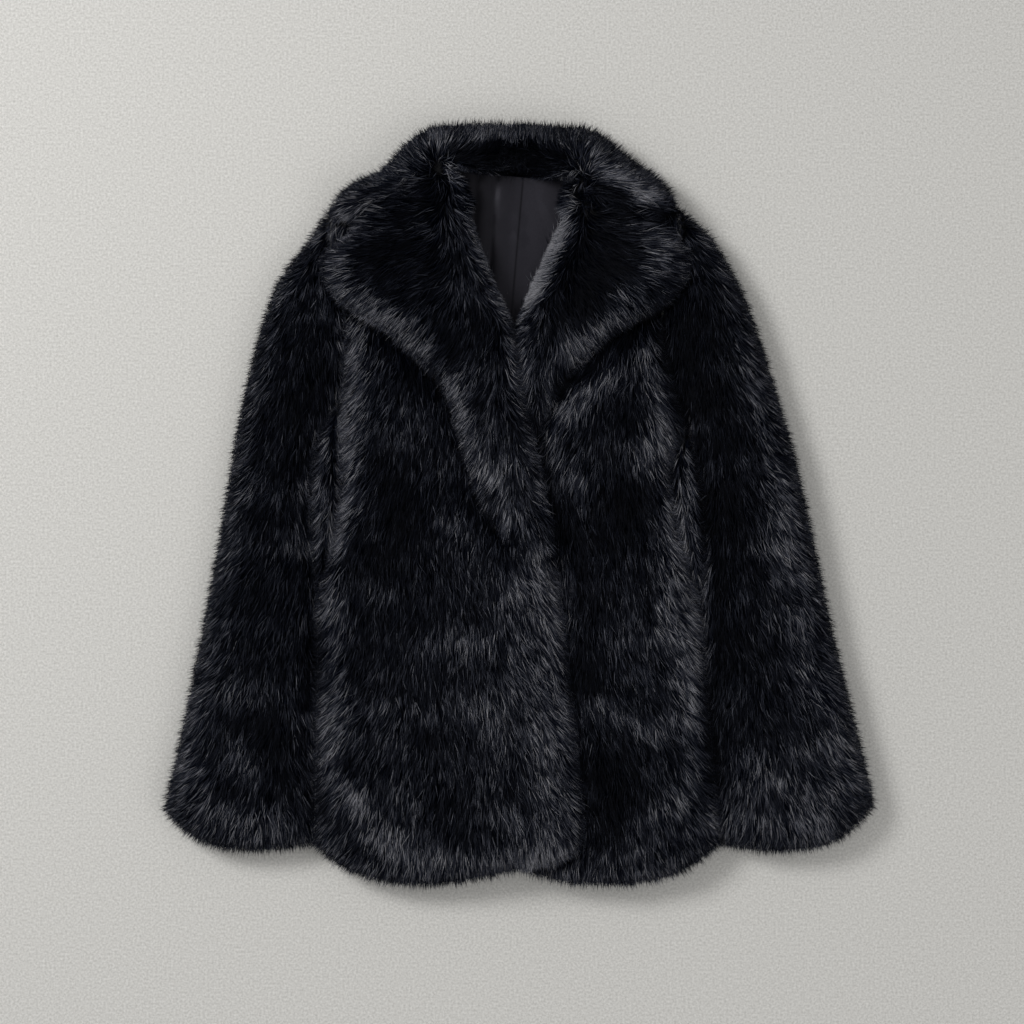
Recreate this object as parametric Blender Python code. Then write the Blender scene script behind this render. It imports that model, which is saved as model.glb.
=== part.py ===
"""A long-pile fur coat laid on its back, the wearer's right front lapped over the left.

Metres, +Z up, lying on Z = 0. The collar points to +Y and the wearer's right side to -X.
Each piece is a wall of fur cloth: the backing with its pile pressed flat, so a wall's outside is
where the hair ends. The sizes below are in millimetres, and MM turns them into metres.
"""

from collections import namedtuple

import bpy
import numpy as np
from mathutils import Vector
from mathutils.geometry import delaunay_2d_cdt

MM = 0.001

# ---- driving sizes, millimetres ----
SEAM_GAP = 0.3  # between two pieces sewn edge to edge, and between two that lie on each other
STEP = 16.0  # along an outline
INNER_STEP = 24.0  # between the points inside one
BACK_THICK = 16.0  # the back's cloth, its pile flattened by the weight on it
FRONT_TOP = 40.0  # height of a front where it lies alone on the back
PRESSED_TOP = 32.0  # height of a front or sleeve under a lapel or the collar
LAP_RISE = 16.0  # what the right front climbs where it crosses the left one
LAP_SWELL = 13.0  # how much of that climb its loose pile shows
LAPEL_THICK = 20.0
LAPEL_BREAK_THICK = 6.0  # where the lapel dies into the front edge
COLLAR_TOP = 56.0
SLEEVE_TOP = 40.0
POCKET_TOP = 33.0
LINING_THICK = 2.0
SLEEVE_SLIT = 0.8  # the space between a flat sleeve's two walls
SLIT_HEIGHT = 18.0
UNDER_RISE = 6.0  # how far the lower edge curls off the surface
UNDER_REACH = 14.0
PRESS_REACH = 30.0  # the pile recovers its height this far from the edge that presses it
PRESS_MARGIN = 1.5

# Where the right front climbs over the left: planes between these lines
UNDERLAP_X = -30.0
CLIMB_END_X = 12.0
CLIMB_TOP_Y = 105.0
CLIMB_FULL_Y = 63.0
UNDERLAP_EDGE_X = -24.0
UNDERLAP_TOP_Y = 62.0

# The collar stands on the surface behind the neck and lies on the fronts beside it
NECK_MIDDLE_X = -2.5
NECK_HALF = 56.0
NECK_BLEND = 26.0
COLLAR_DROP_START = 1.0
COLLAR_DROP_END = 11.0

At = namedtuple("At", "where x y")
CURVES = {
    "neck": (At("right neck point", -66, 350), At("centre back", -1, 344), At("left neck point", 61, 339)),
    "shoulder_right": (At("tip", -195, 313), At("middle", -130, 330), At("neck point", -66, 350)),
    "shoulder_left": (At("neck point", 61, 339), At("middle", 117, 327), At("tip", 169, 309)),
    "armhole_right": (
        At("tip", -195, 313),
        At("front pitch", -197, 279),
        At("lower curve", -192, 235),
        At("underarm", -180, 188),
    ),
    "armhole_left": (
        At("tip", 169, 309),
        At("front pitch", 165, 267),
        At("lower curve", 155, 225),
        At("underarm", 149, 188),
    ),
    "side_right_high": (At("underarm", -180, 188), At("chest", -182, 151), At("pocket top", -184, 118)),
    "side_left_high": (At("underarm", 149, 188), At("chest", 157, 141), At("pocket top", 175, 84)),
    "mouth_right": (
        At("pocket top", -184, 118),
        At("waist", -186, 78),
        At("middle", -186, 17),
        At("lower", -193, -38),
        At("pocket end", -211, -94),
    ),
    "mouth_left": (
        At("pocket top", 175, 84),
        At("waist", 162, 55),
        At("middle", 159, 16),
        At("lower", 171, -43),
        At("pocket end", 190, -103),
    ),
    "welt_right": (
        At("pocket top", -184, 118),
        At("upper", -198, 92),
        At("waist", -212, 57),
        At("fullest", -217, -5),
        At("lower", -214, -63),
        At("pocket end", -211, -94),
    ),
    "welt_left": (
        At("pocket top", 175, 84),
        At("waist", 189, 38),
        At("fullest", 195, -28),
        At("lower", 194, -66),
        At("pocket end", 190, -103),
    ),
    "side_right_low": (At("pocket end", -211, -94), At("hip", -211, -206), At("hem", -214, -356)),
    "side_left_low": (
        At("pocket end", 190, -103),
        At("hip", 195, -174),
        At("thigh", 204, -269),
        At("hem", 211, -356),
    ),
    "sleeve_right_outer": (
        At("tip", -195, 313),
        At("crown", -218, 277),
        At("head", -249, 235),
        At("upper arm", -269, 183),
        At("above elbow", -286, 114),
        At("elbow", -292, 87),
        At("forearm", -309, -17),
        At("lower arm", -332, -143),
        At("wrist", -358, -269),
        At("cuff", -371, -322),
    ),
    "sleeve_left_outer": (
        At("tip", 169, 309),
        At("crown", 202, 277),
        At("head", 227, 235),
        At("upper arm", 249, 180),
        At("above elbow", 271, 109),
        At("elbow", 284, 67),
        At("forearm", 303, -17),
        At("lower arm", 330, -143),
        At("wrist", 357, -253),
        At("cuff", 372, -317),
    ),
    "cuff_right": (
        At("outer corner", -371, -322),
        At("outer", -335, -352),
        At("middle", -282, -362),
        At("inner corner", -214, -356),
    ),
    "cuff_left": (
        At("outer corner", 372, -317),
        At("outer", 333, -352),
        At("middle", 275, -363),
        At("inner corner", 211, -356),
    ),
    "roll_right_top": (At("neck point", -66, 350), At("gorge", -62, 334)),
    "roll_right": (
        At("gorge", -62, 334),
        At("collarbone", -51, 303),
        At("breast", -30, 240),
        At("lap", -4, 184),
    ),
    "roll_left_top": (At("neck point", 61, 339), At("gorge", 55, 323)),
    "roll_left": (
        At("gorge", 55, 323),
        At("collarbone", 44, 293),
        At("breast", 20, 240),
        At("lap", -4, 184),
    ),
    "lap_top": (At("lap", -4, 184), At("chest", 3, 125), At("lapel tip", 15, UNDERLAP_TOP_Y)),
    "lap_high": (At("lapel tip", 15, UNDERLAP_TOP_Y), At("waist", 24, 15), At("break", 33, -43)),
    "lap_low": (
        At("break", 33, -43),
        At("hip", 49, -153),
        At("thigh", 60, -269),
        At("above hem", 67, -338),
    ),
    "lap_corner": (
        At("above hem", 67, -338),
        At("round", 60, -363),
        At("inner", 28, -377),
        At("cusp", -3, -382),
    ),
    "hem_right": (
        At("cusp", -3, -382),
        At("middle", -61, -395),
        At("outer", -124, -397),
        At("corner", -182, -381),
        At("side", -214, -356),
    ),
    "underlap_top": (At("lap edge", 15, UNDERLAP_TOP_Y), At("corner", UNDERLAP_EDGE_X, UNDERLAP_TOP_Y)),
    "underlap_edge": (At("corner", UNDERLAP_EDGE_X, UNDERLAP_TOP_Y), At("hem", UNDERLAP_EDGE_X, -374)),
    "hem_left": (
        At("under the lap", UNDERLAP_EDGE_X, -374),
        At("cusp", -1, -381),
        At("inner", 44, -394),
        At("middle", 107, -398),
        At("corner", 170, -385),
        At("side", 211, -356),
    ),
    "hem_back": (
        At("right side", -214, -356),
        At("right corner", -177, -375),
        At("right", -93, -385),
        At("middle", -3, -373),
        At("left", 86, -386),
        At("left corner", 170, -377),
        At("left side", 211, -356),
    ),
    "gorge_right": (At("roll", -62, 334), At("middle", -103, 326), At("notch", -141, 315)),
    "gorge_left": (At("roll", 55, 323), At("middle", 86, 316), At("notch", 109, 310)),
    "leaf_right_low": (At("notch", -141, 315), At("middle", -166, 303), At("corner", -190, 296)),
    "leaf_right": (
        At("corner", -190, 296),
        At("side", -193, 309),
        At("shoulder", -178, 333),
        At("fall", -140, 351),
        At("turn", -122, 372),
        At("top", -93, 393),
        At("back", -61, 398),
    ),
    "leaf_back": (At("right", -61, 398), At("centre back", -1, 397), At("left", 49, 396)),
    "leaf_left": (
        At("back", 49, 396),
        At("top", 80, 390),
        At("turn", 115, 362),
        At("fall", 143, 343),
        At("side", 158, 329),
        At("corner", 163, 313),
    ),
    "leaf_left_low": (At("corner", 163, 313), At("middle", 140, 308), At("notch", 109, 310)),
    "lapel_right_top": (
        At("notch", -141, 315),
        At("inner", -162, 291),
        At("outer", -186, 272),
        At("corner", -205, 257),
    ),
    "lapel_right_low": (
        At("corner", -205, 257),
        At("round", -203, 235),
        At("shoulder", -182, 209),
        At("chest", -145, 187),
        At("breast", -103, 151),
        At("waist turn", -77, 122),
        At("ridge", -60, 67),
    ),
    "lapel_right_tip": (
        At("ridge", -60, 67),
        At("low ridge", -40, 4),
        At("tip", -12, -32),
        At("break", 33, -43),
    ),
    "lapel_left_top": (
        At("notch", 109, 310),
        At("inner", 132, 297),
        At("outer", 154, 284),
        At("corner", 174, 265),
    ),
    "lapel_left_low": (
        At("corner", 174, 265),
        At("round", 174, 236),
        At("shoulder", 149, 207),
        At("chest", 107, 186),
        At("breast", 65, 149),
        At("waist", 35, 109),
        At("tip", 15, UNDERLAP_TOP_Y),
    ),
}

# How the top falls to an edge: over what reach, to what share of its height, and in what curve
Fall = namedtuple("Fall", "reach share curve")
FALLS = {
    "free": Fall(30.0, 0.0, "round"),
    "roll": Fall(17.0, 0.0, "round"),
    "seam": Fall(12.0, 0.8, "round"),
    "tuck": Fall(62.0, 0.0, "round"),
    "hidden": Fall(10.0, 0.5, "round"),
    "fade": Fall(16.0, 0.45, "round"),
    "stand": Fall(38.0, 0.22, "slope"),
}

# The edges of each piece in order: curve, direction, how the top falls there, extra clearance
Run = namedtuple("Run", "curve way fall clear")
OUTLINES = {
    "back": (
        Run("neck", 1, "hidden", 0),
        Run("shoulder_left", 1, "hidden", 0),
        Run("armhole_left", 1, "hidden", 0),
        Run("side_left_high", 1, "hidden", 0),
        Run("welt_left", 1, "hidden", 0),
        Run("side_left_low", 1, "hidden", 0),
        Run("hem_back", -1, "hidden", 0),
        Run("side_right_low", -1, "hidden", 0),
        Run("welt_right", -1, "hidden", 0),
        Run("side_right_high", -1, "hidden", 0),
        Run("armhole_right", -1, "hidden", 0),
        Run("shoulder_right", 1, "hidden", 0),
    ),
    "front_right": (
        Run("roll_right_top", 1, "roll", 1.5),
        Run("roll_right", 1, "roll", 1.5),
        Run("lap_top", 1, "roll", 1.5),
        Run("lap_high", 1, "roll", 1.5),
        Run("lap_low", 1, "free", 0),
        Run("lap_corner", 1, "free", 0),
        Run("hem_right", 1, "free", 0),
        Run("side_right_low", -1, "free", 0),
        Run("mouth_right", -1, "free", 0),
        Run("side_right_high", -1, "free", 0),
        Run("armhole_right", -1, "seam", 0),
        Run("shoulder_right", 1, "hidden", 0),
    ),
    "front_left": (
        Run("roll_left_top", 1, "roll", 1.5),
        Run("roll_left", 1, "roll", 1.5),
        Run("lap_top", 1, "roll", 0),
        Run("underlap_top", 1, "hidden", 0),
        Run("underlap_edge", 1, "hidden", 0),
        Run("hem_left", 1, "free", 0),
        Run("side_left_low", -1, "free", 0),
        Run("mouth_left", -1, "free", 0),
        Run("side_left_high", -1, "free", 0),
        Run("armhole_left", -1, "seam", 0),
        Run("shoulder_left", -1, "hidden", 0),
    ),
    "sleeve_right": (
        Run("armhole_right", 1, "seam", 0),
        Run("side_right_high", 1, "tuck", 0),
        Run("welt_right", 1, "tuck", 0),
        Run("side_right_low", 1, "tuck", 0),
        Run("cuff_right", -1, "free", 0),
        Run("sleeve_right_outer", -1, "free", 0),
    ),
    "sleeve_left": (
        Run("armhole_left", 1, "seam", 0),
        Run("side_left_high", 1, "tuck", 0),
        Run("welt_left", 1, "tuck", 0),
        Run("side_left_low", 1, "tuck", 0),
        Run("cuff_left", -1, "free", 0),
        Run("sleeve_left_outer", -1, "free", 0),
    ),
    "pocket_right": (Run("mouth_right", 1, "roll", 0), Run("welt_right", -1, "roll", 0)),
    "pocket_left": (Run("mouth_left", 1, "roll", 0), Run("welt_left", -1, "roll", 0)),
    "collar": (
        Run("leaf_right_low", 1, "free", 0),
        Run("leaf_right", 1, "free", 0),
        Run("leaf_back", 1, "free", 0),
        Run("leaf_left", 1, "free", 0),
        Run("leaf_left_low", 1, "free", 0),
        Run("gorge_left", -1, "seam", 0),
        Run("roll_left_top", -1, "roll", 0),
        Run("neck", -1, "none", 0),
        Run("roll_right_top", 1, "roll", 0),
        Run("gorge_right", 1, "seam", 0),
    ),
    "lapel_right": (
        Run("gorge_right", 1, "seam", 0),
        Run("lapel_right_top", 1, "free", 0),
        Run("lapel_right_low", 1, "free", 0),
        Run("lapel_right_tip", 1, "fade", 0),
        Run("lap_high", -1, "roll", 0),
        Run("lap_top", -1, "roll", 0),
        Run("roll_right", -1, "roll", 0),
    ),
    "lapel_left": (
        Run("gorge_left", 1, "seam", 0),
        Run("lapel_left_top", 1, "free", 0),
        Run("lapel_left_low", 1, "free", 0),
        Run("lap_top", -1, "roll", 0),
        Run("roll_left", -1, "roll", 0),
    ),
    "lining": (
        Run("neck", 1, "none", 0),
        Run("roll_left_top", 1, "none", 0),
        Run("roll_left", 1, "none", 0),
        Run("roll_right", -1, "none", 0),
        Run("roll_right_top", -1, "none", 0),
    ),
}

# Folds and swells of the pile: centre, length and width of the form, its turn in degrees, its height
Form = namedtuple("Form", "what x y length width turn height")
FORMS = {
    "front_right": (
        Form("chest swell", -120, 120, 120, 60, 80, 2.5),
        Form("hollow beside the lapel ridge", -88, 40, 90, 22, 72, -3.0),
        Form("waist hollow", -90, -95, 30, 110, 90, -2.5),
        Form("hip roll", -60, -160, 26, 120, 90, 2.5),
        Form("thigh hollow", -90, -255, 26, 110, 90, -2.5),
        Form("hem roll", -150, -318, 24, 60, 90, 2.5),
    ),
    "front_left": (
        Form("fold under the lapel", 52, 78, 70, 20, 70, 3.0),
        Form("chest swell", 110, 110, 90, 40, 100, 2.5),
        Form("waist hollow", 100, -30, 34, 60, 90, -3.5),
        Form("hip roll", 140, -135, 26, 60, 78, 2.5),
        Form("thigh hollow", 88, -300, 90, 40, 80, -5.0),
        Form("hem roll", 165, -330, 60, 26, 60, 2.5),
    ),
    "sleeve_right": (
        Form("elbow crease", -240, 94, 10, 60, 92, -5.0),
        Form("upper arm swell", -232, 170, 60, 40, 78, 2.0),
        Form("forearm swell", -262, 0, 110, 40, 82, 1.5),
        Form("wrist hollow", -285, -245, 36, 60, 92, -3.0),
        Form("cuff swell", -300, -310, 26, 70, 86, 2.0),
    ),
    "sleeve_left": (
        Form("elbow crease", 225, 98, 11, 56, 66, -5.0),
        Form("upper arm swell", 212, 180, 60, 36, 100, 2.0),
        Form("forearm swell", 268, 10, 80, 34, 100, 2.0),
        Form("lower arm hollow", 270, -160, 60, 44, 100, -3.0),
        Form("wrist swell", 290, -290, 40, 60, 92, 2.0),
    ),
    "collar": (
        Form("right turn of the stand", -66, 372, 12, 40, 20, -5.0),
        Form("left turn of the stand", 58, 366, 12, 40, -20, -5.0),
        Form("fold at the back", -18, 384, 30, 8, 90, -3.0),
    ),
    "lapel_right": (Form("inner swell", -90, 232, 110, 40, 105, 2.0),),
    "lapel_left": (
        Form("cross crease", 24, 176, 36, 8, 0, -5.0),
        Form("inner swell", 96, 240, 90, 36, 75, 2.0),
    ),
    "lining": (
        Form("centre seam", 0, 280, 110, 2.5, 86, 1.4),
        Form("soft fold", -27, 310, 60, 7, 84, 0.9),
        Form("left soft fold", 30, 310, 50, 8, 100, 0.7),
    ),
}

FUR_COLOUR = (0.016, 0.017, 0.021, 1.0)
SATIN_COLOUR = (0.028, 0.027, 0.032, 1.0)


# ---- plan curves ----
def smooth_curve(rows):
    """Points STEP apart along a centripetal Catmull-Rom curve through a table's rows."""
    marks = np.array([(row.x, row.y) for row in rows], float)
    if len(marks) == 2:
        fine = np.linspace(marks[0], marks[1], 60)
    else:
        ends = np.vstack([2 * marks[0] - marks[1], marks, 2 * marks[-1] - marks[-2]])
        fine = [marks[0]]
        for a, b, c, d in zip(ends, ends[1:], ends[2:], ends[3:]):
            fine.extend(curve_span(a, b, c, d))
        fine = np.array(fine)
    along = np.concatenate([[0], np.cumsum(np.hypot(*np.diff(fine, axis=0).T))])
    count = max(2, int(round(along[-1] / STEP)) + 1)
    stops = np.linspace(0, along[-1], count)
    return np.column_stack([np.interp(stops, along, fine[:, i]) for i in (0, 1)])


def curve_span(a, b, c, d, count=24):
    """Points after b up to c on the curve through a, b, c and d."""
    t0 = 0.0
    t1 = t0 + np.sqrt(np.hypot(*(b - a)))
    t2 = t1 + np.sqrt(np.hypot(*(c - b)))
    t3 = t2 + np.sqrt(np.hypot(*(d - c)))
    t = np.linspace(t1, t2, count + 1)[1:, None]
    ab = (t1 - t) / (t1 - t0) * a + (t - t0) / (t1 - t0) * b
    bc = (t2 - t) / (t2 - t1) * b + (t - t1) / (t2 - t1) * c
    cd = (t3 - t) / (t3 - t2) * c + (t - t2) / (t3 - t2) * d
    abc = (t2 - t) / (t2 - t0) * ab + (t - t0) / (t2 - t0) * bc
    bcd = (t3 - t) / (t3 - t1) * bc + (t - t1) / (t3 - t1) * cd
    return (t2 - t) / (t2 - t1) * abc + (t - t1) / (t2 - t1) * bcd


LINES = {name: smooth_curve(rows) for name, rows in CURVES.items()}


def outline_of(name):
    """A piece's nominal outline, anticlockwise, and the clearance of the edge after each point."""
    points, clear = [], []
    for run in OUTLINES[name]:
        line = LINES[run.curve][:: run.way]
        points.extend(line[:-1])
        clear.extend([max(run.clear, SEAM_GAP / 2)] * (len(line) - 1))
        if points and np.hypot(*(line[-1] - next_start(name, run))) > 0.01:
            points.append(line[-1])
            clear.append(SEAM_GAP / 2)
    points, clear = np.array(points), np.array(clear)
    if area_of(points) < 0:
        points = points[::-1]
        clear = np.roll(clear[::-1], -1)
    return points, clear


def next_start(name, run):
    runs = OUTLINES[name]
    following = runs[(runs.index(run) + 1) % len(runs)]
    return LINES[following.curve][:: following.way][0]


def area_of(points):
    x, y = points.T
    return 0.5 * np.sum(x * np.roll(y, -1) - np.roll(x, -1) * y)


def moved_in(points, clear):
    """An anticlockwise outline with each edge moved inwards by its own clearance."""
    clear = np.broadcast_to(clear, len(points))
    edge = np.roll(points, -1, axis=0) - points
    edge /= np.hypot(*edge.T)[:, None]
    inward = np.column_stack([-edge[:, 1], edge[:, 0]])
    before, after = np.roll(inward, 1, axis=0), inward
    w0, w1 = np.roll(clear, 1), clear
    cosine = np.sum(before * after, axis=1)
    det = np.maximum(1 - cosine**2, 1e-9)
    a = (w0 - w1 * cosine) / det
    b = (w1 - w0 * cosine) / det
    mitre = a[:, None] * before + b[:, None] * after
    plain = 0.5 * (w0 + w1)[:, None] * (before + after) / np.maximum(1 + cosine, 0.1)[:, None]
    return points + np.where((cosine > 0.995)[:, None], plain, mitre)


def distance_to(points, line, closed=False):
    """The distance from each point to a polyline."""
    start = line if closed else line[:-1]
    end = np.roll(line, -1, axis=0) if closed else line[1:]
    run = end - start
    rel = points[:, None, :] - start[None]
    length = np.maximum(np.sum(run * run, axis=1), 1e-12)
    share = np.clip(np.sum(rel * run, axis=2) / length, 0, 1)
    return np.sqrt(np.min(np.sum((rel - share[..., None] * run) ** 2, axis=2), axis=1))


def depth_in(points, outline):
    """The distance from each point to a closed outline, positive inside it."""
    x, y = points[:, :1], points[:, 1:]
    x0, y0 = outline.T
    x1, y1 = np.roll(outline, -1, axis=0).T
    crosses = ((y0 > y) != (y1 > y)) & (x < (x1 - x0) * (y - y0) / np.where(y1 == y0, 1, y1 - y0) + x0)
    inside = np.sum(crosses, axis=1) % 2 == 1
    return np.where(inside, 1, -1) * distance_to(points, outline, closed=True)


SHAPES = {name: outline_of(name)[0] for name in OUTLINES}


# ---- heights ----
def smooth(t):
    t = np.clip(t, 0, 1)
    return t * t * (3 - 2 * t)


def rounded(t):
    t = np.clip(t, 0, 1)
    return np.sqrt(1 - (1 - t) ** 2)


def edge_share(name, points):
    """How much of its height a piece's top keeps near its edges."""
    share = np.ones(len(points))
    for run in OUTLINES[name]:
        if run.fall != "none":
            fall = FALLS[run.fall]
            near = distance_to(points, LINES[run.curve]) / fall.reach
            share *= fall.share + (1 - fall.share) * rounded(near)
    return share


def forms_of(name, points):
    """The height that a piece's folds and swells add."""
    added = np.zeros(len(points))
    for form in FORMS.get(name, ()):
        turn = np.radians(form.turn)
        x, y = points[:, 0] - form.x, points[:, 1] - form.y
        along = (x * np.cos(turn) + y * np.sin(turn)) / form.length
        across = (y * np.cos(turn) - x * np.sin(turn)) / form.width
        added += form.height * np.exp(-0.5 * (2 * along) ** 2 - 0.5 * (2 * across) ** 2)
    return added


def climb(points):
    """The share of LAP_RISE that the right front's underside has climbed: planes, so layers fit."""
    x, y = points.T
    across = (x - UNDERLAP_X) / (CLIMB_END_X - UNDERLAP_X)
    down = (CLIMB_TOP_Y - y) / (CLIMB_TOP_Y - CLIMB_FULL_Y)
    return np.clip(np.minimum(across, down), 0, 1)


def soft_climb(points):
    """The same climb as the loose pile shows it: steeper by the lapel, a long slope by the hem."""
    x, y = points.T
    low = smooth((-20 - y) / 260)
    start = -36 - 54 * low
    width = 48 + 42 * low
    return smooth((x - start) / width) * smooth((135 - y) / 90)


def pressed(points, height, cover, limit, free, reach=PRESS_REACH):
    """A top held down to limit under a cover's outline, and back at its own height away from it."""
    away = -depth_in(points, cover) - PRESS_MARGIN
    return np.minimum(height, limit + (free - limit + 12) * smooth(away / reach))


def under_curl(name, points):
    edge = SHAPES[name]
    return UNDER_RISE * (1 - rounded(distance_to(points, edge, closed=True) / UNDER_REACH))


def back_low(points):
    return under_curl("back", points)


def back_top(points):
    return np.full(len(points), BACK_THICK)


FRONT_LOW = BACK_THICK + SEAM_GAP


def front_right_low(points):
    return FRONT_LOW + LAP_RISE * climb(points)


def front_right_top(points):
    low = front_right_low(points)
    full = FRONT_TOP + LAP_SWELL * soft_climb(points) + forms_of("front_right", points)
    full = np.maximum(full, low + 14)
    top = low + 4 + (full - low - 4) * edge_share("front_right", points)
    under_lapel = PRESSED_TOP + LAP_RISE * climb(points)
    reach = PRESS_REACH * (0.4 + 0.6 * smooth((points[:, 1] + 20) / 80))
    top = pressed(points, top, SHAPES["lapel_right"], under_lapel, full, reach)
    return pressed(points, top, SHAPES["collar"], under_lapel, full)


def front_left_low(points):
    return np.full(len(points), FRONT_LOW)


def front_left_top(points):
    full = FRONT_TOP + forms_of("front_left", points)
    top = FRONT_LOW + 4 + (full - FRONT_LOW - 4) * edge_share("front_left", points)
    across = np.clip((points[:, 0] - UNDERLAP_X) / (CLIMB_END_X - UNDERLAP_X), 0, 1)
    lapped = points[:, 1] < UNDERLAP_TOP_Y + 1
    under = np.where(lapped, FRONT_LOW - SEAM_GAP + LAP_RISE * across, PRESSED_TOP)
    covered = lapped & (depth_in(points, SHAPES["front_right"]) > -PRESS_MARGIN)
    top = np.where(covered, under, pressed(points, top, SHAPES["front_right"], PRESSED_TOP, full))
    top = pressed(points, top, SHAPES["lapel_left"], PRESSED_TOP, full)
    return pressed(points, top, SHAPES["collar"], PRESSED_TOP, full)


def sleeve_low(name, points):
    return under_curl(name, points)


def sleeve_top(name, lapel, points):
    full = SLEEVE_TOP + forms_of(name, points)
    top = BACK_THICK + (full - BACK_THICK) * edge_share(name, points)
    return pressed(points, top, SHAPES[lapel], PRESSED_TOP, full)


LAYER_LOW = PRESSED_TOP + SEAM_GAP


def lapel_right_low(points):
    return LAYER_LOW + LAP_RISE * climb(points)


def lapel_right_top(points):
    low = lapel_right_low(points)
    thick = LAPEL_BREAK_THICK + (LAPEL_THICK - LAPEL_BREAK_THICK) * smooth((points[:, 1] + 45) / 170)
    soft = np.maximum(LAYER_LOW + LAP_RISE * soft_climb(points), low)
    full = soft + thick + forms_of("lapel_right", points)
    return low + 3 + (full - low - 3) * edge_share("lapel_right", points)


def lapel_left_low(points):
    return np.full(len(points), LAYER_LOW)


def lapel_left_top(points):
    full = LAYER_LOW + LAPEL_THICK + forms_of("lapel_left", points)
    return LAYER_LOW + 3 + (full - LAYER_LOW - 3) * edge_share("lapel_left", points)


def collar_drop(points):
    """How far the collar's underside has come down from the fronts to the surface, 0 to 1."""
    away = -depth_in(points, SHAPES["back"])
    return np.clip((away - COLLAR_DROP_START) / (COLLAR_DROP_END - COLLAR_DROP_START), 0, 1)


def beside_neck(points):
    return np.clip((abs(points[:, 0] - NECK_MIDDLE_X) - NECK_HALF + NECK_BLEND) / NECK_BLEND, 0, 1)


def collar_low(points):
    drop = collar_drop(points)
    edge = np.vstack([LINES["leaf_right"], LINES["leaf_back"], LINES["leaf_left"]])
    curl = UNDER_RISE * (1 - rounded(distance_to(points, edge) / UNDER_REACH))
    return LAYER_LOW * (1 - drop) * beside_neck(points) + drop * curl


def collar_top(points):
    low = collar_low(points)
    neck = LINES["neck"]
    middle = neck[abs(neck[:, 0] - NECK_MIDDLE_X) < NECK_HALF - NECK_BLEND]
    fall = FALLS["stand"]
    stand = fall.share + (1 - fall.share) * smooth(distance_to(points, middle) / fall.reach)
    full = COLLAR_TOP + forms_of("collar", points)
    return low + 8 + (full - low - 8) * edge_share("collar", points) * stand


def pocket_low(points):
    return np.full(len(points), FRONT_LOW)


def pocket_top(name, points):
    return FRONT_LOW + 3 + (POCKET_TOP - FRONT_LOW - 3) * edge_share(name, points)


def lining_low(points):
    return np.full(len(points), FRONT_LOW)


def lining_top(points):
    return FRONT_LOW + LINING_THICK + forms_of("lining", points)


# ---- solids ----
def ring_points(outline, depth, step):
    """Points at one depth inside an outline, about a step apart."""
    moved = moved_in(outline, depth)
    keep = depth_in(moved, outline) > 0.85 * depth
    chosen, last = [], None
    for point in moved[keep]:
        if last is None or np.hypot(*(point - last)) > 0.7 * step:
            chosen.append(point)
            last = point
    return np.array(chosen).reshape(-1, 2)


def inner_points(outline, depth, step):
    """A staggered net of points deeper inside an outline than depth."""
    low, high = outline.min(axis=0), outline.max(axis=0)
    rows = []
    for i, y in enumerate(np.arange(low[1], high[1], step * 0.87)):
        xs = np.arange(low[0] + (i % 2) * step / 2, high[0], step)
        rows.append(np.column_stack([xs, np.full(len(xs), y)]))
    net = np.vstack(rows)
    return net[depth_in(net, outline) > depth]


def divided(line):
    """A polyline with points no more than STEP apart."""
    parts = []
    for a, b in zip(line, line[1:]):
        count = max(1, int(np.ceil(np.hypot(*(b - a)) / STEP)))
        parts.append(a + (b - a) * (np.arange(count) / count)[:, None])
    return np.vstack(parts + [line[-1:]])


def slab(name, low_of, top_of, rings=(), guides=(), step=INNER_STEP):
    """A closed wall over a piece's outline, from one height function up to another.

    rings are the depths that get a row of points, guides the lines along which a height bends."""
    nominal, clear = outline_of(name)
    outline = moved_in(nominal, clear)
    loose = [ring_points(outline, depth, STEP) for depth in rings]
    loose.append(inner_points(outline, (rings[-1] if rings else 0) + 0.5 * step, step))
    loose = np.vstack([part for part in loose if len(part)])
    for guide in guides:
        loose = loose[distance_to(loose, guide) > 5.0]
    points = [tuple(p) for p in outline]
    edges = [(i, (i + 1) % len(points)) for i in range(len(points))]
    for guide in map(divided, guides):
        first = len(points)
        points.extend(tuple(p) for p in guide)
        edges.extend((i, i + 1) for i in range(first, len(points) - 1))
    points.extend(tuple(p) for p in loose)
    found, _, faces, origins, _, _ = delaunay_2d_cdt([Vector(p) for p in points], edges, [], 0, 1e-4)
    plan = np.array([points[o[0]] if o else tuple(v) for v, o in zip(found, origins)], float)
    faces = np.array(faces)
    middles = plan[faces].mean(axis=1)
    faces = faces[depth_in(middles, outline) > 0]
    a, b, c = (plan[faces[:, i]] for i in range(3))
    turn = (b - a)[:, 0] * (c - a)[:, 1] - (b - a)[:, 1] * (c - a)[:, 0]
    faces[turn < 0] = faces[turn < 0][:, ::-1]
    used, faces = np.unique(faces, return_inverse=True)
    plan, faces = plan[used], faces.reshape(-1, 3)
    return wall_object(name, plan, faces, low_of(plan), top_of(plan))


def wall_object(name, plan, faces, low, top):
    """The mesh of a wall: the same faces below and above, joined round the rim."""
    count = len(plan)
    points = np.vstack([np.column_stack([plan, low]), np.column_stack([plan, top])]) * MM
    sides = {}
    for face in faces:
        for a, b in zip(face, np.roll(face, -1)):
            sides[(a, b)] = True
    rim = [(a, b) for a, b in sides if (b, a) not in sides]
    polygons = [tuple(face[::-1]) for face in faces]
    polygons += [tuple(face + count) for face in faces]
    polygons += [(a, b, b + count, a + count) for a, b in rim]
    mesh = bpy.data.meshes.new(name)
    mesh.from_pydata(points.tolist(), [], [tuple(int(i) for i in p) for p in polygons])
    mesh.update()
    mesh.shade_smooth()
    mesh.set_sharp_from_angle(angle=np.radians(50))
    obj = bpy.data.objects.new(name, mesh)
    bpy.context.collection.objects.link(obj)
    return obj


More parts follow.
